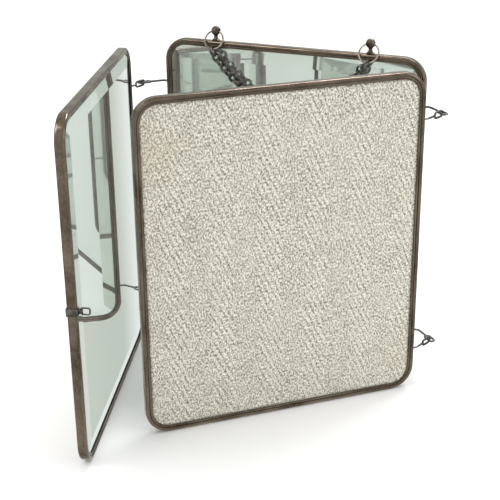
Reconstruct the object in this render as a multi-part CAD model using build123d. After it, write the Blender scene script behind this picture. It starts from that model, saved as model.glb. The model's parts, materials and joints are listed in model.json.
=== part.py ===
from build123d import *
import math
import os

# A three-panel folding mirror: a centre panel with a hanging chain, and two wings
# joined to it by linked wire eyes. Millimetres, +Z up, the centre panel's mirror
# faces -Y, and the origin is under the centre panel's middle, on the surface.

# Panels: outline and rolled channel frame
panel_width = 213.0
panel_height = 250.0
corner_radius = 18.0
channel_wall = 0.5
lip_width = 4.9
shoulder_width = 2.6
shoulder_rise = 0.5
edge_round = 1.3
seam_gap = 0.3
seam_offset = 21.0
joiner_length = 30.0

# What the channel holds, from the mirror side to the back
edge_gap = 1.7
glass_thickness = 3.0
bevel_width = 13.0
bevel_depth = 1.2
paper_thickness = 0.3
board_thickness = 1.8
cloth_thickness = 0.6

# Linked wire eyes of the hinges
wire_diameter = 1.7
wire_clearance = 0.4
eye_length = 10.0
eye_straight = 4.0
eye_bend_radius = 4.0
weld_setback = 0.3
head_diameter = 3.4
head_thickness = 1.0
upper_eye_drop = 36.0
lower_eye_height = 31.0
centre_eye_out = 16.0
centre_eye_forward = 11.5
centre_eye_reach = 4.5
wing_eye_out = 20.0
wing_eye_forward = 9.0

# Fold angles of the wings, measured from lying parallel over the centre panel
left_fold = 72.0
right_fold = 43.0

# Finials, rings and hanging chain
finial_spacing = 126.0
ball_diameter = 7.3
ball_rise = 7.7
neck_diameter = 3.6
collar_diameter = 6.4
collar_height = 1.2
stud_diameter = 2.4
nut_diameter = 5.0
nut_thickness = 1.1
ring_diameter = 15.0
ring_wire = 1.3
ring_clearance = 0.15
rail_clearance = 0.35
link_wire = 1.7
link_width = 8.6
link_pitch = 5.1
link_gap = 0.3
end_link_gap = 0.7
link_count = 31

# Swinging catch on the left wing's free edge
catch_height = 120.0
catch_band_height = 5.6
catch_sheet = 0.5
catch_leg = 4.6
barrel_length = 2.8
barrel_diameter = 2.6
bail_wire = 1.2
bail_reach = 6.0
bail_clearance = 0.08
bail_side_gap = 0.3

fit_gap = 0.05
through = 4.0

upper_eye_height = panel_height - upper_eye_drop
inner_edge = channel_wall + edge_gap
corner_sagitta = (corner_radius - lip_width) * (1 - math.sqrt(0.5))
lip_overlap = lip_width + corner_sagitta - inner_edge
glass_at_lip = glass_thickness - bevel_depth * (1 - lip_overlap / bevel_width)
stack_depth = glass_at_lip + paper_thickness + board_thickness + cloth_thickness
lip_depth = channel_wall + shoulder_rise
channel_depth = stack_depth + 2 * lip_depth
front_face = -channel_depth / 2
front_seat = front_face + lip_depth
glass_back = front_seat + glass_at_lip
eye_half_gap = wire_diameter + wire_clearance


def upright(x=0.0, y=0.0, z=0.0):
    """Sketch plane that faces -Y, with its Y direction up."""
    return Plane(origin=(x, y, z), x_dir=(1, 0, 0), z_dir=(0, -1, 0))


def slab(inset, front, back, radius=None):
    """Rounded panel outline, drawn in from the edge, between two depths."""
    corner = corner_radius - inset if radius is None else radius
    width = panel_width - 2 * inset
    height = panel_height - 2 * inset
    outline = upright(y=back, z=panel_height / 2) * RectangleRounded(width, height, corner)
    return extrude(outline, back - front)


def cross_hole(diameter, x, z):
    """Cutter along X for a wire that goes through a side rail."""
    hole = Plane(origin=(x, 0, z), z_dir=(1, 0, 0)) * Circle(diameter / 2)
    return extrude(hole, through, both=True)


def frame_blank():
    """Stepped channel bent round the panel, before its holes."""
    outside = slab(0, front_face, -front_face)
    rims = outside.edges().filter_by(lambda edge: abs(abs(edge.center().Y) + front_face) < fit_gap)
    body = fillet(rims, edge_round)
    body -= slab(channel_wall, front_seat, -front_seat)
    body -= slab(lip_width, front_face - through, -front_face + through)
    body -= slab(shoulder_width, front_face - through, front_face + shoulder_rise)
    body -= slab(shoulder_width, -front_face - shoulder_rise, -front_face + through)
    seam = Pos(seam_offset, 0, lip_width / 2) * Box(seam_gap, channel_depth + through, lip_width + through)
    return body - seam


def panel_frame(hinge_sides):
    """Frame with a hole for each hinge wire; the sides are -1 and +1."""
    body = frame_blank()
    for side in hinge_sides:
        for height in (upper_eye_height, lower_eye_height):
            body -= cross_hole(wire_diameter + 2 * fit_gap, side * panel_width / 2, height)
    return body


def centre_frame():
    body = panel_frame((-1, 1))
    for x in (-finial_spacing / 2, finial_spacing / 2):
        body -= Pos(x, 0, panel_height) * Cylinder(stud_diameter / 2 + fit_gap, 2 * through)
    return body


def mirror_glass():
    """Glass plate ground to a bevel on its four mirror-side edges."""
    crown = glass_back - glass_thickness
    plate = slab(inner_edge, crown, glass_back)
    half_width = panel_width / 2 - inner_edge
    half_height = panel_height / 2 - inner_edge
    slope = math.degrees(math.atan2(bevel_depth, bevel_width))
    wide = 2 * panel_height
    for turn, reach in ((0, half_width), (90, half_height), (180, half_width), (270, half_height)):
        waste = Box(wide, wide, wide, align=(Align.CENTER, Align.MAX, Align.CENTER))
        cutter = Pos(reach, crown + bevel_depth, 0) * Rot(0, 0, slope) * waste
        plate -= Pos(0, 0, panel_height / 2) * Rot(0, turn, 0) * cutter
    return plate


def layer(front, thickness):
    return slab(inner_edge, front, front + thickness)


def rail_filler(start, end):
    """Bar that fills the bottom rail under the glass, between two places along it."""
    height = channel_wall + edge_gap / 2
    return Pos((start + end) / 2, 0, height) * Box(end - start, stack_depth, edge_gap)


def joiner_plate():
    """Strip inside the bottom rail that bridges the frame's butt joint."""
    return rail_filler(seam_offset - joiner_length / 2, seam_offset + joiner_length / 2)


def packing_strips():
    """Two strips that carry the glass in the bottom rail, beside the joiner."""
    reach = panel_width / 2 - corner_radius
    long_strip = rail_filler(-reach, seam_offset - joiner_length / 2)
    return long_strip + rail_filler(seam_offset + joiner_length / 2, reach)


def swept(path, diameter):
    section = Plane(origin=path @ 0, z_dir=path % 0) * Circle(diameter / 2)
    return sweep(section, path)


def bent_wire(turn_radius, start_angle, x):
    """Half turn of wire centred on (x, 0), starting at an angle from the X direction."""
    place = Pos(x, 0, 0) * Rot(0, 0, start_angle)
    from_centre = (Align.CENTER, Align.MIN, Align.CENTER)
    return place * Torus(turn_radius, wire_diameter / 2, major_angle=180, align=from_centre)


def eye_loop(centre, length):
    """Closed long loop of wire lying in XY, along the X direction."""
    half = length / 2 - eye_half_gap
    leg = Rot(0, 90, 0) * Cylinder(wire_diameter / 2, 2 * half)
    tip = bent_wire(eye_half_gap, -90, centre + half)
    base = bent_wire(eye_half_gap, 90, centre - half)
    loop = tip + base
    for y in (-eye_half_gap, eye_half_gap):
        loop = loop + Pos(centre, y, 0) * leg
    return loop


def wire_eye(out, forward, reach, standing):
    """Wire stem with a long eye. X is out of the frame's edge and -Y is the mirror side.
    The hinge axis is at (out, -forward), and the eye's tip passes it by the reach."""
    axis = Vector(out, -forward, 0)
    bend = Vector(eye_straight, 0, 0)
    along = (axis - bend).normalized()
    base = axis + along * (reach - eye_length - weld_setback)
    start = Vector(-channel_wall - head_thickness / 2, 0, 0)
    stem = swept(Wire(FilletPolyline(start, bend, base, radius=eye_bend_radius).edges()), wire_diameter)
    normal = Vector(along.Y, -along.X, 0) if standing else Vector(0, 0, 1)
    plane = Plane(origin=axis, x_dir=along, z_dir=normal)
    loop = plane * eye_loop(reach - eye_length / 2, eye_length)
    head_plane = Plane(origin=(-channel_wall - head_thickness, 0, 0), z_dir=(1, 0, 0))
    head = extrude(head_plane * Circle(head_diameter / 2), head_thickness)
    return head + stem + loop


def edge_eye(eye, side, height):
    """Move an eye from the origin to a panel's side edge. It is the same either way up."""
    turned = eye if side > 0 else Rot(0, 180, 0) * eye
    return Pos(side * panel_width / 2, 0, height) * turned


def centre_eye(side, height):
    return edge_eye(wire_eye(centre_eye_out, centre_eye_forward, centre_eye_reach, False), side, height)


def wing_eye(side, height):
    return edge_eye(wire_eye(wing_eye_out, wing_eye_forward, 0.0, True), -side, height)


def place_wing(shape, side):
    """Swing a wing from its own frame to its folded place beside the centre panel.
    side is -1 for the left wing, whose hinge edge is at +X, and +1 for the right wing."""
    fold = left_fold if side < 0 else right_fold
    to_axis = Pos(side * (panel_width / 2 + wing_eye_out), wing_eye_forward, 0)
    swing = Rot(0, 0, side * (fold - 180))
    to_centre = Pos(side * (panel_width / 2 + centre_eye_out), -centre_eye_forward, 0)
    return to_centre * swing * to_axis * shape


def ring_mouth():
    """Cutter for the bell-mouthed cross hole that lets a ring swing in the ball."""
    reach = ball_diameter / 2 + ring_clearance
    ring_radius = ring_diameter / 2
    inner = ring_radius - ring_wire / 2 - ring_clearance
    throat = ring_radius - inner
    mouth = ring_radius - math.sqrt(inner ** 2 - reach ** 2)
    arc = ThreePointArc((reach, mouth), (0, throat), (-reach, mouth))
    rim = Polyline((-reach, mouth), (-reach, 0), (reach, 0), (reach, mouth))
    return revolve(make_face([arc, rim]), Axis.X)


def finial(x):
    """Ball, waisted neck, collar and threaded stud, turned in one piece."""
    ball_radius = ball_diameter / 2
    neck_radius = neck_diameter / 2
    join = ball_rise - math.sqrt(ball_radius ** 2 - neck_radius ** 2)
    foot = -channel_wall - nut_thickness
    edge = Polyline(
        (0, join), (0, foot), (stud_diameter / 2, foot), (stud_diameter / 2, 0),
        (collar_diameter / 2, 0), (collar_diameter / 2, collar_height / 2),
    )
    flare = Spline(edge @ 1, (neck_radius * 0.8, (join + collar_height) / 2), (neck_radius, join))
    top = Line(flare @ 1, edge @ 0)
    profile = Plane.XZ * make_face([edge, flare, top])
    turned = revolve(profile, Axis.Z) + Pos(0, 0, ball_rise) * Sphere(ball_radius)
    turned -= Pos(0, 0, ball_rise) * ring_mouth()
    return Pos(x, 0, panel_height) * turned


def finial_nut(x):
    """Nut inside the top rail, between the channel and the glass edge."""
    nut = Plane(origin=(x, 0, panel_height - channel_wall)) * RegularPolygon(nut_diameter / 2, 6)
    body = extrude(nut, -nut_thickness)
    return body - Pos(x, 0, panel_height) * Cylinder(stud_diameter / 2 + fit_gap, 2 * through)


ring_lean = math.degrees(math.atan2(-front_face + ring_wire / 2 + rail_clearance, ball_rise))
ball_height = panel_height + ball_rise


def ring_foot(side):
    """Lowest point on a ring's wire, where the chain's end link hangs."""
    tilt = math.radians(ring_lean)
    return Vector(
        side * finial_spacing / 2, -ring_diameter * math.sin(tilt), ball_height - ring_diameter * math.cos(tilt)
    )


def ring(side):
    top = Vector(side * finial_spacing / 2, 0, ball_height)
    foot = ring_foot(side)
    across = Vector(1, 0, 0)
    normal = across.cross(foot - top).normalized()
    plane = Plane(origin=(top + foot) * 0.5, z_dir=normal)
    return plane * Torus(ring_diameter / 2, ring_wire / 2)


def chain_link(centre, along, edge_on):
    """Oval link round its centre, lying along the chain, flat or edge on."""
    normal = along.cross(Vector(0, 1, 0)) if edge_on else Vector(0, 1, 0)
    plane = Plane(origin=centre, x_dir=along, z_dir=normal)
    length = link_pitch + link_gap + link_wire
    outline = plane * Ellipse(length / 2, (link_width - link_wire) / 2)
    return swept(outline.wire(), link_wire)


def sag_parameter(span, length):
    """Scale of the catenary that hangs a length over a span, found by halving."""
    low = span / 20
    high = span * 20
    for _ in range(60):
        middle = (low + high) / 2
        if 2 * middle * math.sinh(span / (2 * middle)) > length:
            low = middle
        else:
            high = middle
    return middle


def chain():
    """Links hung on a catenary between the feet of the two rings."""
    inner = link_pitch + link_gap
    end_reach = inner / 2 - ring_wire / 2 - end_link_gap
    length = (link_count - 1) * link_pitch + 2 * end_reach
    foot = ring_foot(1)
    scale = sag_parameter(2 * foot.X, length)
    low = foot.Z - scale * (math.cosh(foot.X / scale) - 1)
    links = []
    for index in range(link_count):
        along = end_reach + index * link_pitch - length / 2
        x = scale * math.asinh(along / scale)
        z = low + scale * (math.cosh(x / scale) - 1)
        direction = Vector(1, 0, math.sinh(x / scale)).normalized()
        links.append(chain_link(Vector(x, foot.Y, z), direction, index % 2 == 0))
    return Compound(links)


def catch_band():
    """Sheet clip round the free edge rail, with a barrel on its mirror side."""
    edge = -panel_width / 2
    wide = catch_leg + catch_sheet
    deep = channel_depth + 2 * catch_sheet
    from_edge = (Align.MIN, Align.CENTER, Align.CENTER)
    box = Pos(edge - catch_sheet, 0, catch_height) * Box(wide, deep, catch_band_height, align=from_edge)
    inside = Pos(edge, 0, catch_height) * Box(wide, channel_depth, 2 * catch_band_height, align=from_edge)
    barrel = barrel_centre() * Cylinder(barrel_diameter / 2, barrel_length)
    saddle_depth = barrel_diameter / 2
    saddle = barrel_centre() * Pos(0, saddle_depth / 2, 0) * Box(barrel_diameter, saddle_depth, barrel_length)
    bore = barrel_centre() * Cylinder(bail_wire / 2 + bail_clearance, barrel_length + through)
    return (box - inside) + barrel + saddle - bore


def barrel_centre():
    x = -panel_width / 2 + catch_leg - barrel_diameter / 2
    return Pos(x, front_face - catch_sheet - barrel_diameter / 2, catch_height)


def catch_bail():
    """Closed wire loop that turns in the barrel and hooks over a facing panel's edge."""
    height = barrel_length + 2 * bail_side_gap + bail_wire
    plane = Plane(origin=(0, -bail_reach / 2, 0), x_dir=(0, 1, 0), z_dir=(1, 0, 0))
    outline = plane * RectangleRounded(bail_reach, height, bail_wire)
    return barrel_centre() * swept(outline.wire(), bail_wire)


def panel_parts(name, frame):
    return {
        f"{name}_frame": frame,
        f"{name}_joiner_plate": joiner_plate(),
        f"{name}_packing_strips": packing_strips(),
        f"{name}_mirror_glass": mirror_glass(),
        f"{name}_packing_paper": layer(glass_back, paper_thickness),
        f"{name}_backing_board": layer(glass_back + paper_thickness, board_thickness),
        f"{name}_back_cloth": layer(glass_back + paper_thickness + board_thickness, cloth_thickness),
    }


def build():
    parts = panel_parts("centre", centre_frame())
    heights = {"upper": upper_eye_height, "lower": lower_eye_height}
    for side, name in ((-1, "left"), (1, "right")):
        wing = panel_parts(name, panel_frame((-side,)))
        if side < 0:
            wing["catch_band"] = catch_band()
            wing["catch_bail"] = catch_bail()
        for level, height in heights.items():
            parts[f"centre_{name}_{level}_eye"] = centre_eye(side, height)
            wing[f"{name}_wing_{level}_eye"] = wing_eye(side, height)
        for node, shape in wing.items():
            parts[node] = place_wing(shape, side)
        parts[f"{name}_finial"] = finial(side * finial_spacing / 2)
        parts[f"{name}_finial_nut"] = finial_nut(side * finial_spacing / 2)
        parts[f"{name}_ring"] = ring(side)
    parts["chain"] = chain()
    return parts


os.makedirs("parts", exist_ok=True)
for node, shape in build().items():
    export_step(shape, f"parts/{node}.step")
    print(node, round(shape.volume, 1))
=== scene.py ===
import json
import math

import bpy
import numpy as np
from mathutils import Matrix, Vector


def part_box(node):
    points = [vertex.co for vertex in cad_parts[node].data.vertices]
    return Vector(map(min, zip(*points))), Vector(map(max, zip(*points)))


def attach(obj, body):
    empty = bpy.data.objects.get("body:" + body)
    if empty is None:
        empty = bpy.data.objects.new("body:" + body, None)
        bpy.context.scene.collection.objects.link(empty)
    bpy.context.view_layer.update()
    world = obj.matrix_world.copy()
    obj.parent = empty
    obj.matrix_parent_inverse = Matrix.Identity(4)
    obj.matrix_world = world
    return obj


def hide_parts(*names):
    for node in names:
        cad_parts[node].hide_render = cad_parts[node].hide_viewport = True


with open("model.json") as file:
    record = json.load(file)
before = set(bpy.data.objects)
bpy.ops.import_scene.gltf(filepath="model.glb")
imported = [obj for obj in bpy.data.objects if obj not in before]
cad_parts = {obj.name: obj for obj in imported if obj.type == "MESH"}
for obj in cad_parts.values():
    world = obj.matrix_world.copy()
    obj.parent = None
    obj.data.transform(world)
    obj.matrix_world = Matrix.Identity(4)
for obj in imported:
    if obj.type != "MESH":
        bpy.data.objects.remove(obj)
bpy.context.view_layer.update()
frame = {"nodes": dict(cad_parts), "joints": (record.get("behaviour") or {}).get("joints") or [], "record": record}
nodes = frame["nodes"]
mm = 0.001

# where the three panels stand
# A panel's own frame has its mirror facing -Y, its bottom edge at height 0 and its middle at X 0.

panel = {
    "cornerRadius": 18 * mm,
    "wingEyeOut": 20 * mm,      # hinge axis beyond the wing's edge
    "wingEyeForward": 9 * mm,   # hinge axis in front of the wing's middle plane
    "seamOffset": 21 * mm,      # butt joint in the bottom rail, from the middle
    "seamGap": 0.3 * mm,
}

low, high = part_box("centre_frame")
panelWidth = high.x - low.x
panelHeight = high.z - low.z
frontFace = low.y
wingMounts = {m["name"]: Vector(m["pos_m"]) for m in frame["record"]["mounts"]}
hinges = {j["name"]: j for j in frame["joints"]}


def wingPlace(side, jointName, mountName):
    axis = Vector(hinges[jointName]["pos_m"])
    axis.z = 0
    foot = wingMounts[mountName]
    toMiddle = Vector((side * (panelWidth / 2 + panel["wingEyeOut"]), panel["wingEyeForward"], 0))
    seen = foot - axis
    turn = math.atan2(seen.y, seen.x) - math.atan2(toMiddle.y, toMiddle.x)
    return Matrix.Translation(axis) @ Matrix.Rotation(turn, 4, "Z") @ Matrix.Translation(toMiddle)


places = {
    "centre": Matrix.Identity(4),
    "left": wingPlace(-1, "left_wing_hinge", "left_base"),
    "right": wingPlace(1, "right_wing_hinge", "right_base"),
}
bodies = {"centre": "centre_panel", "left": "left_wing", "right": "right_wing"}
print("panels placed", {k: [round(v, 4) for v in p.translation] for k, p in places.items()})


# small helpers

def meshObject(name, vertices, edges, faces):
    mesh = bpy.data.meshes.new(name)
    mesh.from_pydata([tuple(v) for v in vertices], edges, faces)
    mesh.update()
    made = bpy.data.objects.new(name, mesh)
    bpy.context.scene.collection.objects.link(made)
    return made


def smooth(mesh):
    mesh.polygons.foreach_set("use_smooth", [True] * len(mesh.polygons))



def growMesh(source, tree, values):
    # runs a Geometry Nodes tree on an object and leaves its result as that object's plain mesh
    grower = source.modifiers.new("grow", "NODES")
    grower.node_group = tree
    sockets = {s.name: s.identifier for s in tree.interface.items_tree if s.in_out == "INPUT"}
    for name, value in values.items():
        grower[sockets[name]] = value
    bpy.context.view_layer.update()
    graph = bpy.context.evaluated_depsgraph_get()
    result = bpy.data.meshes.new_from_object(source.evaluated_get(graph))
    source.modifiers.remove(grower)
    old = source.data
    source.data = result
    result.name = source.name
    bpy.data.meshes.remove(old)
    return source


def newTree(name, inputs):
    tree = bpy.data.node_groups.new(name, "GeometryNodeTree")
    tree.interface.new_socket("Geometry", in_out="INPUT", socket_type="NodeSocketGeometry")
    for label, kind, value in inputs:
        socket = tree.interface.new_socket(label, in_out="INPUT", socket_type=kind)
        if value is not None:
            socket.default_value = value
    tree.interface.new_socket("Geometry", in_out="OUTPUT", socket_type="NodeSocketGeometry")
    return tree


def addNode(tree, kind, values=None, **settings):
    node = tree.nodes.new(kind)
    for key, value in settings.items():
        setattr(node, key, value)
    for key, value in (values or {}).items():
        node.inputs[key].default_value = value
    return node


def mathNode(tree, operation, a, b=None, c=None, clamp=False):
    node = addNode(tree, "ShaderNodeMath", operation=operation, use_clamp=clamp)
    for index, given in enumerate((a, b, c)):
        if given is None:
            continue
        if isinstance(given, (int, float)):
            node.inputs[index].default_value = given
        else:
            tree.links.new(given, node.inputs[index])
    return node.outputs[0]


def mixColour(tree, amount, first, second):
    node = addNode(tree, "ShaderNodeMix", data_type="RGBA", blend_type="MIX")
    for socket, given in ((node.inputs[0], amount), (node.inputs[6], first), (node.inputs[7], second)):
        if isinstance(given, (int, float)):
            socket.default_value = given
        elif isinstance(given, tuple):
            socket.default_value = (*given, 1)
        else:
            tree.links.new(given, socket)
    return node.outputs[2]


def rampNode(tree, value, stops):
    node = addNode(tree, "ShaderNodeValToRGB")
    while len(node.color_ramp.elements) < len(stops):
        node.color_ramp.elements.new(0.5)
    for element, (place, colour) in zip(node.color_ramp.elements, stops):
        element.position = place
        element.color = (colour, colour, colour, 1) if isinstance(colour, (int, float)) else (*colour, 1)
    tree.links.new(value, node.inputs[0])
    return node.outputs[0]


def noiseNode(tree, vector, scale, detail=4.0, roughness=0.55):
    node = addNode(tree, "ShaderNodeTexNoise", {"Scale": scale, "Detail": detail, "Roughness": roughness})
    tree.links.new(vector, node.inputs["Vector"])
    return node.outputs["Fac"]


def newMaterial(name, **constants):
    material = bpy.data.materials.new(name)
    material.use_nodes = True
    shader = material.node_tree.nodes["Principled BSDF"]
    for key, value in constants.items():
        shader.inputs[key].default_value = value
    return material, material.node_tree, shader


def bumpInto(tree, shader, height, strength, distance):
    bump = addNode(tree, "ShaderNodeBump", {"Strength": strength, "Distance": distance})
    tree.links.new(height, bump.inputs["Height"])
    tree.links.new(bump.outputs[0], shader.inputs["Normal"])


# shader groups that several finishes share

def makeGroup(name, inputs, outputs):
    group = bpy.data.node_groups.new(name, "ShaderNodeTree")
    for label, kind, value in inputs:
        socket = group.interface.new_socket(label, in_out="INPUT", socket_type=kind)
        if value is not None:
            socket.default_value = value
    for label, kind in outputs:
        group.interface.new_socket(label, in_out="OUTPUT", socket_type=kind)
    return group, addNode(group, "NodeGroupInput"), addNode(group, "NodeGroupOutput")


wearing = {
    "pitsPerCloud": 14.0,      # how much finer the pits are than the clouds
    "pitShare": 0.25,
    "rubbedSmoother": 0.16,    # roughness that rubbing takes off
    "darkRoughness": 0.46,
    "pitRise": 0.4,
}


def makeTarnish():
    # cloudy dark tarnish with rubbed paler patches and fine pits
    group, given, out = makeGroup(
        "tarnish",
        [("Vector", "NodeSocketVector", None), ("Dark", "NodeSocketColor", (0.05, 0.035, 0.028, 1)),
         ("Rubbed", "NodeSocketColor", (0.35, 0.3, 0.25, 1)), ("Cloud Scale", "NodeSocketFloat", 60.0),
         ("Rubbed Share", "NodeSocketFloat", 0.5)],
        [("Color", "NodeSocketColor"), ("Roughness", "NodeSocketFloat"), ("Height", "NodeSocketFloat")])
    link = group.links.new
    cloud = addNode(group, "ShaderNodeTexNoise", {"Detail": 5.0, "Roughness": 0.6})
    link(given.outputs["Vector"], cloud.inputs["Vector"])
    link(given.outputs["Cloud Scale"], cloud.inputs["Scale"])
    pitScale = mathNode(group, "MULTIPLY", given.outputs["Cloud Scale"], wearing["pitsPerCloud"])
    pits = addNode(group, "ShaderNodeTexNoise", {"Detail": 3.0, "Roughness": 0.7})
    link(given.outputs["Vector"], pits.inputs["Vector"])
    link(pitScale, pits.inputs["Scale"])
    blotch = rampNode(group, cloud.outputs["Fac"], [(0.36, 0.0), (0.66, 1.0)])
    speck = rampNode(group, pits.outputs["Fac"], [(0.40, 0.0), (0.60, 1.0)])
    share = mathNode(group, "MULTIPLY", blotch, given.outputs["Rubbed Share"])
    worn = mathNode(group, "MULTIPLY_ADD", speck, wearing["pitShare"], share, clamp=True)
    link(mixColour(group, worn, given.outputs["Dark"], given.outputs["Rubbed"]), out.inputs["Color"])
    link(mathNode(group, "MULTIPLY_ADD", blotch, -wearing["rubbedSmoother"], wearing["darkRoughness"]),
         out.inputs["Roughness"])
    link(mathNode(group, "MULTIPLY_ADD", speck, wearing["pitRise"], blotch), out.inputs["Height"])
    return group


tarnish = makeTarnish()


def metalFinish(name, dark, rubbed, cloudScale, share, metallic=1.0, bump=0.25):
    material, tree, shader = newMaterial(name, Metallic=metallic)
    coordinates = addNode(tree, "ShaderNodeTexCoord")
    wear = addNode(tree, "ShaderNodeGroup", node_tree=tarnish)
    wear.inputs["Dark"].default_value = (*dark, 1)
    wear.inputs["Rubbed"].default_value = (*rubbed, 1)
    wear.inputs["Cloud Scale"].default_value = cloudScale
    wear.inputs["Rubbed Share"].default_value = share
    tree.links.new(coordinates.outputs["Object"], wear.inputs["Vector"])
    tree.links.new(wear.outputs["Color"], shader.inputs["Base Color"])
    tree.links.new(wear.outputs["Roughness"], shader.inputs["Roughness"])
    bumpInto(tree, shader, wear.outputs["Height"], bump, 0.1 * mm)
    return material


def boardFinish(name, base, fibre, scale):
    material, tree, shader = newMaterial(name, Roughness=0.9)
    coordinates = addNode(tree, "ShaderNodeTexCoord")
    flecks = noiseNode(tree, coordinates.outputs["Object"], scale, 6.0, 0.7)
    patches = noiseNode(tree, coordinates.outputs["Object"], scale / 20, 3.0)
    share = rampNode(tree, flecks, [(0.35, 0.0), (0.65, 1.0)])
    colour = mixColour(tree, share, base, fibre)
    aged = mixColour(tree, mathNode(tree, "MULTIPLY", patches, 0.4), colour, tuple(c * 0.6 for c in base))
    tree.links.new(aged, shader.inputs["Base Color"])
    bumpInto(tree, shader, flecks, 0.3, 0.2 * mm)
    return material


def setFinish(nodeNames, material):
    for name in nodeNames:
        for slot in nodes[name].material_slots:
            slot.material = material


print("shader groups ready")


# moulded frames: a rolled channel bent round each panel

moulding = {
    "cornerSteps": 16,
    "darkBrown": (0.040, 0.022, 0.014),
    "rubbedNickel": (0.32, 0.25, 0.195),
    # dark colour for the groove, and painted shade along the lip's inner edge
    "grooveDarkAndGapShade": (0.012, 0.009, 0.007),
    "grooveDarkAndGapShadeShare": 0.9,
    "cloudScale": 45.0,
    "rubbedShare": 0.42,
    "streaksAcross": 1600.0,      # per metre over the rail, and along it
    "streaksAlong": 28.0,
    "streakShare": 0.55,
    "grooveAt": 2.9,              # mm in from the edge, and its half width
    "grooveHalf": 0.42,
    # the painted shade along the lip's inner edge starts here
    "brinkAt": 4.55,              # mm in from the edge, and the width it fades over
    "brinkFade": 0.35,
    "polish": 0.16,
    "streakPolish": 0.08,
    "grooveAndGapRoughness": 0.3,
    "bump": 0.22,
    "bumpHeight": 0.12 * mm,
    # outside of the front half, from the lip's inner edge out: inset and depth from the middle plane
    "front": [(4.84, -2.60), (4.94, -2.74), (4.88, -2.92), (4.62, -3.04), (4.15, -3.11), (3.62, -3.10),
              (3.20, -3.01), (2.96, -2.86), (2.84, -2.88), (2.74, -3.06), (2.62, -3.30), (2.42, -3.47),
              (2.10, -3.555), (1.70, -3.571), (1.20, -3.52), (0.74, -3.36), (0.38, -3.08), (0.15, -2.70),
              (0.03, -2.20), (0.0, -1.50)],
    "inside": [(0.5, -1.6), (0.62, -2.2), (0.95, -2.50), (1.5, -2.571)],
}


def mouldingOutline():
    scale = -frontFace / (3.571 * mm)
    front = [(u * mm, y * mm * scale) for u, y in moulding["front"]]
    back = [(u, -y) for u, y in reversed(front)]
    inside = [(u * mm, y * mm * scale) for u, y in moulding["inside"]]
    innerBack = [(u, -y) for u, y in inside]
    outer = front + back
    inner = list(reversed(innerBack)) + inside
    return [(-u, y, 0) for u, y in outer + inner]


def roundedPath(width, height, radius, seamX, gap, steps):
    # starts and ends at the butt joint in the bottom edge and runs to the right first
    points = [(seamX + gap / 2, 0)]
    corners = [(width / 2 - radius, radius, -90), (width / 2 - radius, height - radius, 0),
               (-width / 2 + radius, height - radius, 90), (-width / 2 + radius, radius, 180)]
    for x, y, start in corners:
        for step in range(steps + 1):
            angle = math.radians(start + 90 * step / steps)
            points.append((x + radius * math.cos(angle), y + radius * math.sin(angle)))
    points.append((seamX - gap / 2, 0))
    return [(x, y, 0) for x, y in points]


def makeMouldingTree():
    tree = newTree("bentMoulding", [("Profile", "NodeSocketObject", None),
                                    ("Finish", "NodeSocketMaterial", None)])
    given = addNode(tree, "NodeGroupInput")
    out = addNode(tree, "NodeGroupOutput")
    link = tree.links.new
    rail = addNode(tree, "GeometryNodeMeshToCurve")
    upNormals = addNode(tree, "GeometryNodeSetCurveNormal", mode="Z_UP")
    spline = addNode(tree, "GeometryNodeSplineParameter")
    keepAlong = addNode(tree, "GeometryNodeStoreNamedAttribute", {"Name": "along"}, data_type="FLOAT")
    profileInfo = addNode(tree, "GeometryNodeObjectInfo")
    profileCurve = addNode(tree, "GeometryNodeMeshToCurve")
    position = addNode(tree, "GeometryNodeInputPosition")
    axes = addNode(tree, "ShaderNodeSeparateXYZ")
    keepInset = addNode(tree, "GeometryNodeStoreNamedAttribute", {"Name": "inset"}, data_type="FLOAT")
    sweepRail = addNode(tree, "GeometryNodeCurveToMesh", {"Fill Caps": True})
    shade = addNode(tree, "GeometryNodeSetShadeSmooth")
    realize = addNode(tree, "GeometryNodeRealizeInstances")
    finish = addNode(tree, "GeometryNodeSetMaterial")
    link(given.outputs["Geometry"], rail.inputs[0])
    link(rail.outputs[0], upNormals.inputs[0])
    link(upNormals.outputs[0], keepAlong.inputs["Geometry"])
    link(spline.outputs["Length"], keepAlong.inputs["Value"])
    link(given.outputs["Profile"], profileInfo.inputs["Object"])
    link(profileInfo.outputs["Geometry"], profileCurve.inputs[0])
    link(position.outputs[0], axes.inputs[0])
    link(profileCurve.outputs[0], keepInset.inputs["Geometry"])
    link(axes.outputs["X"], keepInset.inputs["Value"])
    link(keepAlong.outputs[0], sweepRail.inputs["Curve"])
    link(keepInset.outputs[0], sweepRail.inputs["Profile Curve"])
    link(sweepRail.outputs[0], shade.inputs[0])
    link(shade.outputs[0], realize.inputs[0])
    link(realize.outputs[0], finish.inputs["Geometry"])
    link(given.outputs["Finish"], finish.inputs["Material"])
    link(finish.outputs[0], out.inputs["Geometry"])
    return tree


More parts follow.
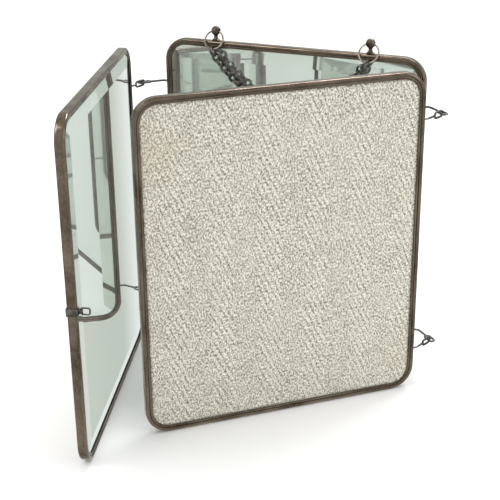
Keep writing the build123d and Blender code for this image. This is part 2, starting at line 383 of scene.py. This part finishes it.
def mouldingFinish():
    material, tree, shader = newMaterial("agedNickelMoulding", Metallic=1.0)
    link = tree.links.new
    coordinates = addNode(tree, "ShaderNodeTexCoord")
    along = addNode(tree, "ShaderNodeAttribute", attribute_name="along")
    inset = addNode(tree, "ShaderNodeAttribute", attribute_name="inset")
    wear = addNode(tree, "ShaderNodeGroup", node_tree=tarnish)
    wear.inputs["Dark"].default_value = (*moulding["darkBrown"], 1)
    wear.inputs["Rubbed"].default_value = (*moulding["rubbedNickel"], 1)
    wear.inputs["Cloud Scale"].default_value = moulding["cloudScale"]
    wear.inputs["Rubbed Share"].default_value = moulding["rubbedShare"]
    link(coordinates.outputs["Object"], wear.inputs["Vector"])
    # streaks drawn along the rail
    across = mathNode(tree, "MULTIPLY", inset.outputs["Fac"], moulding["streaksAcross"])
    lengthwise = mathNode(tree, "MULTIPLY", along.outputs["Fac"], moulding["streaksAlong"])
    streakPlace = addNode(tree, "ShaderNodeCombineXYZ")
    link(lengthwise, streakPlace.inputs[0])
    link(across, streakPlace.inputs[1])
    streakNoise = noiseNode(tree, streakPlace.outputs[0], 1.0, 3.0)
    streaks = rampNode(tree, streakNoise, [(0.42, 0.0), (0.62, 1.0)])
    streaked = mixColour(tree, mathNode(tree, "MULTIPLY", streaks, moulding["streakShare"]),
                         wear.outputs["Color"], moulding["rubbedNickel"])
    # darkened in the groove, and painted shade where the lip meets the glass or cloth
    depthIn = mathNode(tree, "MULTIPLY", inset.outputs["Fac"], -1000.0)
    fromGroove = mathNode(tree, "ABSOLUTE", mathNode(tree, "SUBTRACT", depthIn, moulding["grooveAt"]))
    groove = mathNode(tree, "SUBTRACT", 1.0, mathNode(
        tree, "DIVIDE", fromGroove, moulding["grooveHalf"]), clamp=True)
    brink = mathNode(tree, "DIVIDE", mathNode(
        tree, "SUBTRACT", depthIn, moulding["brinkAt"]), moulding["brinkFade"], clamp=True)
    grooveDarkAndGapShadeMask = mathNode(tree, "MAXIMUM", groove, brink)
    grooveDarkAndGapShadeAmount = mathNode(tree, "MULTIPLY", grooveDarkAndGapShadeMask, moulding["grooveDarkAndGapShadeShare"])
    link(mixColour(tree, grooveDarkAndGapShadeAmount, streaked, moulding["grooveDarkAndGapShade"]), shader.inputs["Base Color"])
    rough = mathNode(tree, "MULTIPLY_ADD", streaks, -moulding["streakPolish"], mathNode(
        tree, "SUBTRACT", wear.outputs["Roughness"], moulding["polish"]))
    link(mathNode(tree, "MULTIPLY_ADD", grooveDarkAndGapShadeMask, moulding["grooveAndGapRoughness"], rough),
         shader.inputs["Roughness"])
    bumpInto(tree, shader, wear.outputs["Height"], moulding["bump"], moulding["bumpHeight"])
    return material


mouldingTree = makeMouldingTree()
agedMoulding = mouldingFinish()
outline = mouldingOutline()
closedEdges = [(i, (i + 1) % len(outline)) for i in range(len(outline))]
profile = meshObject("mouldingProfile", outline, closedEdges, [])
standUp = Matrix.Rotation(math.radians(90), 4, "X")
for side, place in places.items():
    path = roundedPath(panelWidth, panelHeight, panel["cornerRadius"], panel["seamOffset"],
                       panel["seamGap"], moulding["cornerSteps"])
    rail = meshObject(side + "Frame", path, [(i, i + 1) for i in range(len(path) - 1)], [])
    growMesh(rail, mouldingTree, {"Profile": profile, "Finish": agedMoulding})
    rail.data.transform(place @ standUp)
    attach(rail, bodies[side])
    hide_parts(side + "_frame")
    print(side, "frame", len(rail.data.polygons), "faces")
bpy.data.objects.remove(profile)


# bevelled mirrors with foxing

glass = {
    "tint": (0.90, 0.925, 0.90),
    "edgeTint": (0.74, 0.79, 0.745),
    "spot": (0.05, 0.05, 0.04),
    "spotsPerMetre": 70.0,
    "silver": 0.9,            # the rest is the haze of dust and age
    "fadeStart": 9.0,         # mm from the edge where the silver starts to yellow
    "edgeFade": 16.0,         # mm over which it has yellowed
    "fadeShare": 0.55,
    "fadeWander": 14.0,       # mm that the yellowed edge wanders
    "wanderScale": 45.0,
    "spotlessShare": 0.72,    # cells below this have no spot
    "spotSize": 0.32,
    "spotSharpness": 40.0,
    "haze": 0.012,
    "edgeHaze": 0.03,
    "spotRoughness": 0.5,
}


def mirrorFinish(side):
    material, tree, shader = newMaterial(side + "Mirror", Metallic=glass["silver"])
    link = tree.links.new
    coordinates = addNode(tree, "ShaderNodeTexCoord")
    inverse = places[side].inverted()
    placed = addNode(tree, "ShaderNodeMapping", vector_type="POINT")
    placed.inputs["Location"].default_value = inverse.translation
    placed.inputs["Rotation"].default_value = inverse.to_euler()
    link(coordinates.outputs["Object"], placed.inputs["Vector"])
    axes = addNode(tree, "ShaderNodeSeparateXYZ")
    link(placed.outputs[0], axes.inputs[0])
    fromSide = mathNode(tree, "SUBTRACT", panelWidth / 2, mathNode(tree, "ABSOLUTE", axes.outputs["X"]))
    upDown = mathNode(tree, "ABSOLUTE", mathNode(tree, "SUBTRACT", axes.outputs["Z"], panelHeight / 2))
    fromEnd = mathNode(tree, "SUBTRACT", panelHeight / 2, upDown)
    nearest = mathNode(tree, "MULTIPLY", mathNode(tree, "MINIMUM", fromSide, fromEnd), 1000.0)
    cloud = noiseNode(tree, coordinates.outputs["Object"], glass["wanderScale"], 5.0)
    wavy = mathNode(tree, "MULTIPLY_ADD", cloud, glass["fadeWander"], nearest)
    pastStart = mathNode(tree, "SUBTRACT", wavy, glass["fadeStart"])
    faded = mathNode(tree, "SUBTRACT", 1.0, mathNode(
        tree, "DIVIDE", pastStart, glass["edgeFade"]), clamp=True)
    # each cell may hold one small round spot
    cells = addNode(tree, "ShaderNodeTexVoronoi", {"Scale": glass["spotsPerMetre"], "Randomness": 1.0})
    link(coordinates.outputs["Object"], cells.inputs["Vector"])
    pick = addNode(tree, "ShaderNodeSeparateColor")
    link(cells.outputs["Color"], pick.inputs[0])
    chosen = mathNode(tree, "SUBTRACT", pick.outputs[0], glass["spotlessShare"], clamp=True)
    size = mathNode(tree, "MULTIPLY", chosen, glass["spotSize"])
    spots = mathNode(tree, "MULTIPLY", mathNode(
        tree, "SUBTRACT", size, cells.outputs["Distance"]), glass["spotSharpness"], clamp=True)
    aged = mixColour(tree, mathNode(tree, "MULTIPLY", faded, glass["fadeShare"]), glass["tint"],
                     glass["edgeTint"])
    link(mixColour(tree, spots, aged, glass["spot"]), shader.inputs["Base Color"])
    haze = mathNode(tree, "MULTIPLY_ADD", faded, glass["edgeHaze"], glass["haze"])
    link(mathNode(tree, "MULTIPLY_ADD", spots, glass["spotRoughness"], haze), shader.inputs["Roughness"])
    return material


for side in places:
    setFinish([side + "_mirror_glass"], mirrorFinish(side))
print("mirrors done")


# woven backs: broad bands of bold slanting ribs between finer ones

weave = {
    "gridStep": 0.735 * mm,
    "edgeInside": 2.4 * mm,       # the sheet's edge is tucked under the back lip
    "sunk": 0.36 * mm,            # base of the weave below the plain cloth's face
    "bandPeriod": 35.2,           # mm, one bold band and one fine band
    "firstBand": 24.7,            # mm from the sheet's left, seen from behind
    "boldPitch": 3.87, "boldNormal": (0.906, 0.42), "boldRise": 0.30,
    "finePitch": 2.15, "fineNormal": (0.97, 0.24), "fineRise": 0.14,
    "slubRise": 0.10,
    "wander": 0.9,                # mm that the ribs stray from straight
    "restRise": 0.08,             # height of the cloth between the bold bands
    "tuftPitch": 2.1,             # mm along a rib
    # relief height at which the painted light on the rib tops is full
    "highRise": 0.34,             # relief that counts as fully raised
    "yarnScale": 980.0,
    "tuftScale": 640.0,
    "patchScale": 22.0,
    "speckleShare": 0.66,
    # share of painted light on the raised rib tops
    "paintedRibLightShare": 0.6,
    "tuftShare": 0.3,
    "tuftMiddle": 0.2,
    "patchShare": 0.16,
    "bump": 0.7,
    "bumpHeight": 0.35 * mm,
    "lipFrom": 2.9,               # mm from the sheet's edge where it lies flat under the lip
    "lipFade": 1.4,
    "pale": (0.80, 0.77, 0.665),
    "shade": (0.13, 0.12, 0.085),
    "stain": (0.42, 0.30, 0.16),
    # where in metres, how far in mm and how strong
    "dampMarks": (((0.013, 0.212, 0), 34.0, 0.26), ((0.204, 0.030, 0), 26.0, 0.2)),
    "markWander": 30.0,
    "markStart": 12.0,
    "seed": 5,
}


def smoothNoise(rng, shape, cell):
    coarse = rng.random((int(shape[0] / cell) + 4, int(shape[1] / cell) + 4))
    rows = np.linspace(0, coarse.shape[0] - 3.001, shape[0])
    columns = np.linspace(0, coarse.shape[1] - 3.001, shape[1])
    r, c = rows.astype(int), columns.astype(int)
    fr = (3 - 2 * (rows - r)) * (rows - r) ** 2
    fc = (3 - 2 * (columns - c)) * (columns - c) ** 2
    top = coarse[r][:, c] * (1 - fc) + coarse[r][:, c + 1] * fc
    bottom = coarse[r + 1][:, c] * (1 - fc) + coarse[r + 1][:, c + 1] * fc
    return top * (1 - fr[:, None]) + bottom * fr[:, None] - 0.5


def clothRelief(across, up, rng):
    # height in mm of the weave at places given in mm
    shape = across.shape
    wander = smoothNoise(rng, shape, 12) * weave["wander"]
    band = np.cos(2 * math.pi * (across - weave["firstBand"]) / weave["bandPeriod"])
    bold = np.clip(band * 3.2 + 0.5, 0, 1)
    nx, nz = weave["boldNormal"]
    phase = (nx * across + nz * up + wander) / weave["boldPitch"]
    along = (-nz * across + nx * up) / weave["tuftPitch"] + 0.5 * np.floor(phase)
    ribs = np.abs(np.cos(math.pi * phase)) ** 0.8 * (0.8 + 0.2 * np.cos(2 * math.pi * along))
    fx, fz = weave["fineNormal"]
    finePlace = fx * across + fz * up + 0.5 * wander
    fine = np.cos(2 * math.pi * finePlace / weave["finePitch"]) * 0.5 + 0.5
    cross = np.cos(2 * math.pi * (nx * across - nz * up) / weave["boldPitch"]) * 0.5 + 0.5
    flat = weave["fineRise"] * (0.65 * fine + 0.35 * cross)
    height = bold * weave["boldRise"] * ribs + (1 - bold) * (flat + weave["restRise"])
    height += weave["slubRise"] * (smoothNoise(rng, shape, 2) + smoothNoise(rng, shape, 5))
    return height


def clothFinish(side):
    material, tree, shader = newMaterial(side + "BackWeave", Roughness=0.92)
    shader.inputs["Sheen Weight"].default_value = 0.15
    shader.inputs["Sheen Roughness"].default_value = 0.6
    link = tree.links.new
    flatMap = addNode(tree, "ShaderNodeUVMap", uv_map="flat")
    relief = addNode(tree, "ShaderNodeAttribute", attribute_name="relief")
    grainPlace = addNode(tree, "ShaderNodeMapping", vector_type="POINT")
    grainPlace.inputs["Scale"].default_value = (1.0, 0.62, 1.0)
    link(flatMap.outputs[0], grainPlace.inputs["Vector"])
    yarn = noiseNode(tree, grainPlace.outputs[0], weave["yarnScale"], 2.0, 0.6)
    tufts = noiseNode(tree, grainPlace.outputs[0], weave["tuftScale"], 3.0, 0.6)
    patches = noiseNode(tree, flatMap.outputs[0], weave["patchScale"], 3.0)
    # rib tops painted lighter and hollows darker by the relief height: painted light and shade on the weave
    high = mathNode(tree, "DIVIDE", relief.outputs["Fac"], weave["highRise"], clamp=True)
    speckle = rampNode(tree, yarn, [(0.45, 0.0), (0.55, 1.0)])
    paintedRibLight = mathNode(tree, "MULTIPLY", high, weave["paintedRibLightShare"])
    tone = mathNode(tree, "MULTIPLY_ADD", speckle, weave["speckleShare"], paintedRibLight)
    tuftTone = mathNode(tree, "MULTIPLY_ADD", tufts, weave["tuftShare"], -weave["tuftMiddle"])
    tone = mathNode(tree, "ADD", tone, tuftTone, clamp=True)
    colour = mixColour(tree, tone, weave["shade"], weave["pale"])
    dull = rampNode(tree, patches, [(0.4, 0.0), (0.7, 1.0)])
    colour = mixColour(tree, mathNode(tree, "MULTIPLY", dull, weave["patchShare"]), colour,
                       tuple(c * 0.75 for c in weave["pale"]))
    if side == "right":
        # damp marks beside the frame
        for centre, reach, amount in weave["dampMarks"]:
            away = addNode(tree, "ShaderNodeVectorMath", operation="DISTANCE")
            link(flatMap.outputs[0], away.inputs[0])
            away.inputs[1].default_value = centre
            ragged = mathNode(tree, "MULTIPLY_ADD", patches, weave["markWander"], mathNode(
                tree, "MULTIPLY", away.outputs["Value"], 1000.0))
            mark = mathNode(tree, "SUBTRACT", 1.0, mathNode(
                tree, "DIVIDE", mathNode(tree, "SUBTRACT", ragged, weave["markStart"]), reach), clamp=True)
            colour = mixColour(tree, mathNode(tree, "MULTIPLY", mark, amount), colour, weave["stain"])
    link(colour, shader.inputs["Base Color"])
    height = mathNode(tree, "ADD", mathNode(tree, "MULTIPLY", yarn, 0.6), tufts)
    bumpInto(tree, shader, height, weave["bump"], weave["bumpHeight"])
    return material


def makeCloth(side, place, rng):
    lowest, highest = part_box("centre_back_cloth")
    surface = highest.y - weave["sunk"]
    width = panelWidth - 2 * weave["edgeInside"]
    height = panelHeight - 2 * weave["edgeInside"]
    radius = panel["cornerRadius"] - weave["edgeInside"]
    columns = int(width / weave["gridStep"]) + 1
    rows = int(height / weave["gridStep"]) + 1
    up = np.repeat(np.linspace(0, height, rows)[:, None], columns, 1)
    fromEnd = np.minimum(up, height - up)
    cut = np.clip(radius - fromEnd, 0, radius)
    half = width / 2 - (radius - np.sqrt(radius ** 2 - cut ** 2))
    across = np.linspace(-1, 1, columns)[None, :] * half
    # seen from behind, the sheet's left is its own +X side
    seen = (panelWidth / 2 - across) / mm
    relief = clothRelief(seen, (up + weave["edgeInside"]) / mm, rng)
    inFromEdge = np.minimum(half - np.abs(across), fromEnd) / mm
    tucked = np.clip((inFromEdge - weave["lipFrom"]) / weave["lipFade"], 0, 1)
    relief = relief * tucked
    points = np.stack([across, surface + relief * mm, up + weave["edgeInside"]], -1).reshape(-1, 3)
    index = np.arange(rows * columns).reshape(rows, columns)
    quads = np.stack([index[:-1, :-1], index[1:, :-1], index[1:, 1:], index[:-1, 1:]], -1).reshape(-1, 4)
    cloth = meshObject(side + "BackWeave", points, [], quads.tolist())
    smooth(cloth.data)
    rise = cloth.data.attributes.new("relief", "FLOAT", "POINT")
    rise.data.foreach_set("value", relief.reshape(-1).astype(np.float32))
    flat = cloth.data.uv_layers.new(name="flat")
    flatPoints = np.stack([seen.reshape(-1) * mm, points[:, 2]], -1)
    flat.data.foreach_set("uv", flatPoints[quads.reshape(-1)].reshape(-1).astype(np.float32))
    cloth.data.materials.append(clothFinish(side))
    cloth.data.transform(place)
    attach(cloth, bodies[side])
    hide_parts(side + "_back_cloth")
    print(side, "woven back", len(quads), "faces")


for number, (side, place) in enumerate(places.items()):
    makeCloth(side, place, np.random.default_rng(weave["seed"] + number))


# hanging chain: pairs of round links on the rings' catenary

chainLook = {
    "linkCount": 31,
    "wire": 1.6 * mm,
    "linkLength": 6.8 * mm,   # to the wire's centre line
    "linkWidth": 7.0 * mm,
    "pairSpacing": 1.62 * mm,
    "ringSteps": 18,
    "wireSteps": 7,
    "rollJitter": 5.0,         # degrees
    "endInset": 3.2 * mm,      # from the box's end to the first link's middle
    "heightInside": 4.3 * mm,  # from the box's bottom or top to the nearest link's middle
    "dark": (0.012, 0.010, 0.009),
    "rubbed": (0.42, 0.39, 0.35),
    "seed": 11,
}


def linkTorus(length, width, wire, ringSteps, wireSteps):
    vertices, faces = [], []
    for i in range(ringSteps):
        a = 2 * math.pi * i / ringSteps
        centre = Vector((length / 2 * math.cos(a), width / 2 * math.sin(a), 0))
        outward = Vector((math.cos(a) * width, math.sin(a) * length, 0)).normalized()
        for j in range(wireSteps):
            b = 2 * math.pi * j / wireSteps
            vertices.append(centre + (outward * math.cos(b) + Vector((0, 0, math.sin(b)))) * wire / 2)
    for i in range(ringSteps):
        for j in range(wireSteps):
            nextI, nextJ = (i + 1) % ringSteps, (j + 1) % wireSteps
            faces.append((i * wireSteps + j, nextI * wireSteps + j, nextI * wireSteps + nextJ,
                          i * wireSteps + nextJ))
    return vertices, faces


def makeLinkPair():
    vertices, faces = linkTorus(chainLook["linkLength"], chainLook["linkWidth"], chainLook["wire"],
                                chainLook["ringSteps"], chainLook["wireSteps"])
    both, bothFaces = [], []
    for offset in (-0.5, 0.5):
        shift = Vector((0, 0, offset * chainLook["pairSpacing"]))
        bothFaces += [tuple(v + len(both) for v in face) for face in faces]
        both += [v + shift for v in vertices]
    pair = meshObject("linkPair", both, [], bothFaces)
    smooth(pair.data)
    return pair


def makeChainTree():
    tree = newTree("linkedChain", [("Link", "NodeSocketObject", None),
                                   ("Quarter Turn", "NodeSocketFloat", 90.0),
                                   ("Roll Jitter", "NodeSocketFloat", 4.0), ("Seed", "NodeSocketInt", 1),
                                   ("Finish", "NodeSocketMaterial", None)])
    given = addNode(tree, "NodeGroupInput")
    out = addNode(tree, "NodeGroupOutput")
    link = tree.links.new
    run = addNode(tree, "GeometryNodeMeshToCurve")
    points = addNode(tree, "GeometryNodeCurveToPoints", mode="EVALUATED")
    info = addNode(tree, "GeometryNodeObjectInfo")
    place = addNode(tree, "GeometryNodeInstanceOnPoints")
    lie = addNode(tree, "FunctionNodeAlignRotationToVector", axis="X")
    number = addNode(tree, "GeometryNodeInputIndex")
    odd = addNode(tree, "ShaderNodeMath", {1: 2.0}, operation="MODULO")
    quarter = addNode(tree, "ShaderNodeMath", operation="MULTIPLY")
    spread = addNode(tree, "FunctionNodeRandomValue", data_type="FLOAT")
    lowest = addNode(tree, "ShaderNodeMath", {1: -1.0}, operation="MULTIPLY")
    total = addNode(tree, "ShaderNodeMath", operation="ADD")
    radians = addNode(tree, "ShaderNodeMath", operation="RADIANS")
    roll = addNode(tree, "FunctionNodeAxisAngleToRotation", {"Axis": (1, 0, 0)})
    turn = addNode(tree, "FunctionNodeRotateRotation", rotation_space="LOCAL")
    realize = addNode(tree, "GeometryNodeRealizeInstances")
    finish = addNode(tree, "GeometryNodeSetMaterial")
    link(given.outputs["Geometry"], run.inputs[0])
    link(run.outputs[0], points.inputs[0])
    link(given.outputs["Link"], info.inputs["Object"])
    link(points.outputs["Points"], place.inputs["Points"])
    link(info.outputs["Geometry"], place.inputs["Instance"])
    link(points.outputs["Tangent"], lie.inputs["Vector"])
    link(number.outputs[0], odd.inputs[0])
    link(odd.outputs[0], quarter.inputs[0])
    link(given.outputs["Quarter Turn"], quarter.inputs[1])
    link(given.outputs["Roll Jitter"], lowest.inputs[0])
    link(lowest.outputs[0], spread.inputs["Min"])
    link(given.outputs["Roll Jitter"], spread.inputs["Max"])
    link(given.outputs["Seed"], spread.inputs["Seed"])
    link(quarter.outputs[0], total.inputs[0])
    link([s for s in spread.outputs if s.enabled][0], total.inputs[1])
    link(total.outputs[0], radians.inputs[0])
    link(radians.outputs[0], roll.inputs["Angle"])
    link(lie.outputs[0], turn.inputs["Rotation"])
    link(roll.outputs[0], turn.inputs["Rotate By"])
    link(turn.outputs[0], place.inputs["Rotation"])
    link(place.outputs[0], realize.inputs[0])
    link(realize.outputs[0], finish.inputs["Geometry"])
    link(given.outputs["Finish"], finish.inputs["Material"])
    link(finish.outputs[0], out.inputs["Geometry"])
    return tree


def chainRun():
    # link centres, evenly spaced along the catenary that fits the chain's own box
    lowest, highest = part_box("chain")
    halfSpan = (highest.x - lowest.x) / 2 - chainLook["endInset"]
    drop = (highest.z - lowest.z) - 2 * chainLook["heightInside"]
    depth = (lowest.y + highest.y) / 2
    small, large = halfSpan / 20, halfSpan * 20
    for _ in range(60):
        scale = (small + large) / 2
        if scale * (math.cosh(halfSpan / scale) - 1) > drop:
            small = scale
        else:
            large = scale
    lowestMiddle = lowest.z + chainLook["heightInside"]
    halfLength = scale * math.sinh(halfSpan / scale)
    run = []
    for i in range(chainLook["linkCount"]):
        along = halfLength * (2 * i / (chainLook["linkCount"] - 1) - 1)
        x = scale * math.asinh(along / scale)
        run.append((x, depth, lowestMiddle + scale * (math.cosh(x / scale) - 1)))
    print("chain length", round(2 * halfLength, 4))
    return run


darkChain = metalFinish("darkChain", chainLook["dark"], chainLook["rubbed"], 300, 0.45)
run = chainRun()
linkPair = makeLinkPair()
chain = meshObject("hangingChain", run, [(i, i + 1) for i in range(len(run) - 1)], [])
growMesh(chain, makeChainTree(), {"Link": linkPair, "Quarter Turn": 90.0,
                                  "Roll Jitter": chainLook["rollJitter"], "Seed": chainLook["seed"],
                                  "Finish": darkChain})
bpy.data.objects.remove(linkPair)
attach(chain, "hanging_chain")
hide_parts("chain")
print("chain", len(chain.data.polygons), "faces")


# finishes for the pieces that keep their own shape

fittings = {
    "darkWire": ((0.045, 0.042, 0.04), (0.30, 0.29, 0.28), 120, 0.6),
    "agedFinial": ((0.035, 0.024, 0.018), (0.24, 0.19, 0.15), 160, 0.5),
    "ringWire": ((0.11, 0.08, 0.065), (0.55, 0.48, 0.42), 180, 0.7),
    "catchSteel": ((0.03, 0.026, 0.024), (0.34, 0.31, 0.28), 200, 0.6),
    "plainSteel": ((0.25, 0.24, 0.22), (0.5, 0.48, 0.45), 90, 0.6),
}
finishes = {name: metalFinish(name, *values) for name, values in fittings.items()}
setFinish([n for n in nodes if n.endswith("_eye")], finishes["darkWire"])
setFinish(["left_finial", "right_finial"], finishes["agedFinial"])
setFinish(["left_ring", "right_ring"], finishes["ringWire"])
setFinish(["catch_band", "catch_bail"], finishes["catchSteel"])
setFinish(["left_finial_nut", "right_finial_nut"], finishes["plainSteel"])
setFinish([side + "_joiner_plate" for side in places], finishes["plainSteel"])
strips = boardFinish("packingCard", (0.30, 0.21, 0.12), (0.42, 0.33, 0.22), 900)
paper = boardFinish("brownPaper", (0.24, 0.16, 0.09), (0.32, 0.23, 0.14), 1400)
board = boardFinish("backingBoard", (0.33, 0.27, 0.19), (0.45, 0.38, 0.29), 700)
setFinish([side + "_packing_strips" for side in places], strips)
setFinish([side + "_packing_paper" for side in places], paper)
setFinish([side + "_backing_board" for side in places], board)
print("fittings done")


# floor, light and camera

studio = {
    "floorTone": (0.93, 0.93, 0.93),
    "ambient": 0.95,
    "wall": (0.70, 0.74, 0.69),
    "post": (0.56, 0.61, 0.55),
    "pane": (0.84, 0.88, 0.86),
    "bays": 9,                # posts and panes round the room
    "floorReach": 4,
    "floorDrop": 0.0004,
    "mirrorBounces": 12,
    "otherBounces": 4,
}
reach, under = studio["floorReach"], -studio["floorDrop"]
floor = meshObject("floor", [(-reach, -reach, under), (reach, -reach, under), (reach, reach, under),
                             (-reach, reach, under)], [], [(0, 1, 2, 3)])
floorFinish, tree, shader = newMaterial("paleFloor", Roughness=0.9)
shader.inputs["Base Color"].default_value = (*studio["floorTone"], 1)
# mirrors look through the floor to the soft room beyond it
path = addNode(tree, "ShaderNodeLightPath")
through = addNode(tree, "ShaderNodeBsdfTransparent")
choose = addNode(tree, "ShaderNodeMixShader")
tree.links.new(path.outputs["Is Glossy Ray"], choose.inputs[0])
tree.links.new(shader.outputs[0], choose.inputs[1])
tree.links.new(through.outputs[0], choose.inputs[2])
tree.links.new(choose.outputs[0], tree.nodes["Material Output"].inputs[0])
floor.data.materials.append(floorFinish)

world = bpy.data.worlds.new("softRoom")
bpy.context.scene.world = world
world.use_nodes = True
tree = world.node_tree
plain = tree.nodes["Background"]
plain.inputs["Color"].default_value = (1, 1, 1, 1)
plain.inputs["Strength"].default_value = studio["ambient"]
direction = addNode(tree, "ShaderNodeTexCoord")
axes = addNode(tree, "ShaderNodeSeparateXYZ")
tree.links.new(direction.outputs["Generated"], axes.inputs[0])
heading = mathNode(tree, "ARCTAN2", axes.outputs["Y"], axes.outputs["X"])
bay = mathNode(tree, "FRACT", mathNode(tree, "MULTIPLY", heading, studio["bays"] / (2 * math.pi)))
room = rampNode(tree, bay, [(0.0, studio["wall"]), (0.30, studio["wall"]), (0.32, studio["post"]),
                            (0.38, studio["post"]), (0.40, studio["pane"]), (0.80, studio["pane"]),
                            (0.82, studio["post"]), (0.85, studio["wall"])])
roomLight = addNode(tree, "ShaderNodeBackground")
tree.links.new(room, roomLight.inputs["Color"])
seen = addNode(tree, "ShaderNodeLightPath")
mixed = addNode(tree, "ShaderNodeMixShader")
tree.links.new(seen.outputs["Is Glossy Ray"], mixed.inputs[0])
tree.links.new(plain.outputs[0], mixed.inputs[1])
tree.links.new(roomLight.outputs[0], mixed.inputs[2])
tree.links.new(mixed.outputs[0], tree.nodes["World Output"].inputs[0])


def softLight(name, place, target, size, power):
    data = bpy.data.lights.new(name, "AREA")
    data.shape = "RECTANGLE"
    data.size, data.size_y = size
    data.energy = power
    lamp = bpy.data.objects.new(name, data)
    bpy.context.scene.collection.objects.link(lamp)
    lamp.location = place
    lamp.rotation_euler = (Vector(target) - Vector(place)).to_track_quat("-Z", "Y").to_euler()


softLight("keyLight", (-0.7, -0.9, 1.3), (0, 0, 0.1), (0.8, 0.8), 7)
softLight("topLight", (0.1, 0.75, 1.3), (0, 0, 0.15), (0.9, 0.28), 12)
softLight("sideLight", (1.4, -0.1, 0.7), (0.1, 0, 0.15), (0.3, 0.9), 3)

lens = {"place": (0.3201, -0.8077, 0.4450), "heading": -23.79, "down": 22.63, "roll": -0.60,
        "focal": 83.0, "sensor": 36.0}


def aimedCamera():
    data = bpy.data.cameras.new("camera")
    data.lens = lens["focal"]
    data.sensor_width = lens["sensor"]
    data.clip_start = 0.01
    camera = bpy.data.objects.new("camera", data)
    bpy.context.scene.collection.objects.link(camera)
    heading, down, roll = (math.radians(lens[k]) for k in ("heading", "down", "roll"))
    level = math.cos(down)
    ahead = Vector((math.sin(heading) * level, math.cos(heading) * level, -math.sin(down)))
    right = Vector((math.cos(heading), -math.sin(heading), 0))
    up = right.cross(ahead)
    turnedRight = right * math.cos(roll) + up * math.sin(roll)
    turnedUp = up * math.cos(roll) - right * math.sin(roll)
    camera.matrix_world = Matrix.Translation(lens["place"]) @ Matrix(
        (turnedRight, turnedUp, -ahead)).transposed().to_4x4()
    bpy.context.scene.camera = camera


aimedCamera()
bpy.context.scene.view_settings.view_transform = "Standard"
bpy.context.scene.cycles.glossy_bounces = studio["mirrorBounces"]
bpy.context.scene.cycles.max_bounces = studio["mirrorBounces"] + studio["otherBounces"]
print("studio ready")
